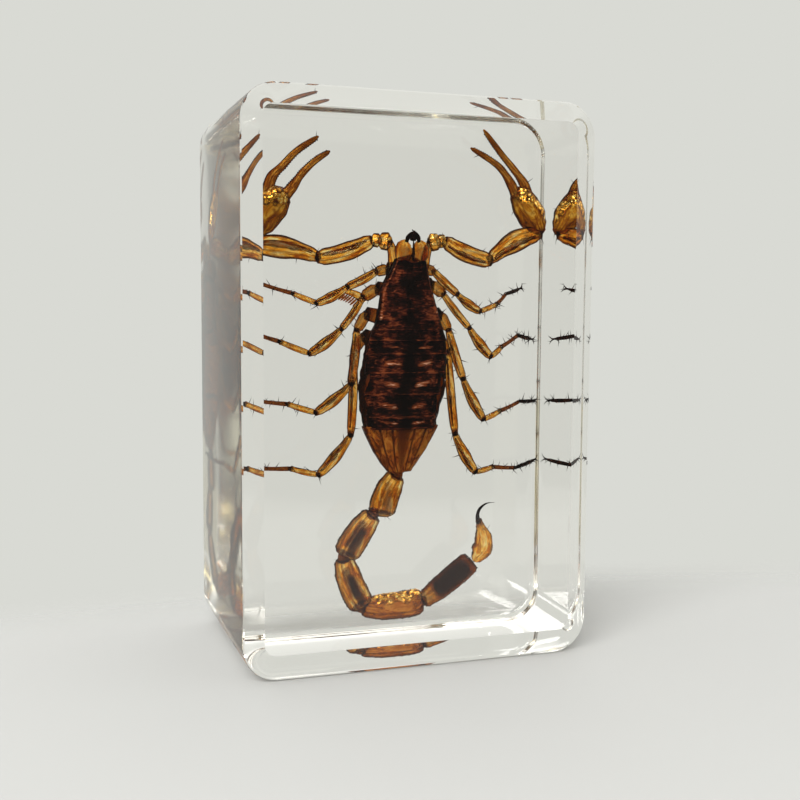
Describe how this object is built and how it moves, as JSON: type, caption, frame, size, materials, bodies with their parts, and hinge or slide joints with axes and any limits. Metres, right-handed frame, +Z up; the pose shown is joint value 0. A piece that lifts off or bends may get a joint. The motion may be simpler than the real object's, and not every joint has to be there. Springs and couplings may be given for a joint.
{
  "type": "scorpion in resin block",
  "caption": "Clear cast resin block with rounded corners that seals a dried scorpion, seen from its back; a paperweight and teaching specimen.",
  "frame": {"origin": "centre of the block's footprint, on the surface it stands on", "axes": "+Z up along the block's height and the scorpion's body towards its head, -Y out of the front face that shows the scorpion's back, +X to the right seen from the front"},
  "size_m": [0.039, 0.026, 0.06],
  "materials": {
    "clear_resin": "clear polished polyester resin"
  },
  "bodies": {
    "root": {"resin_block": "clear_resin"}
  },
  "joints": []
}
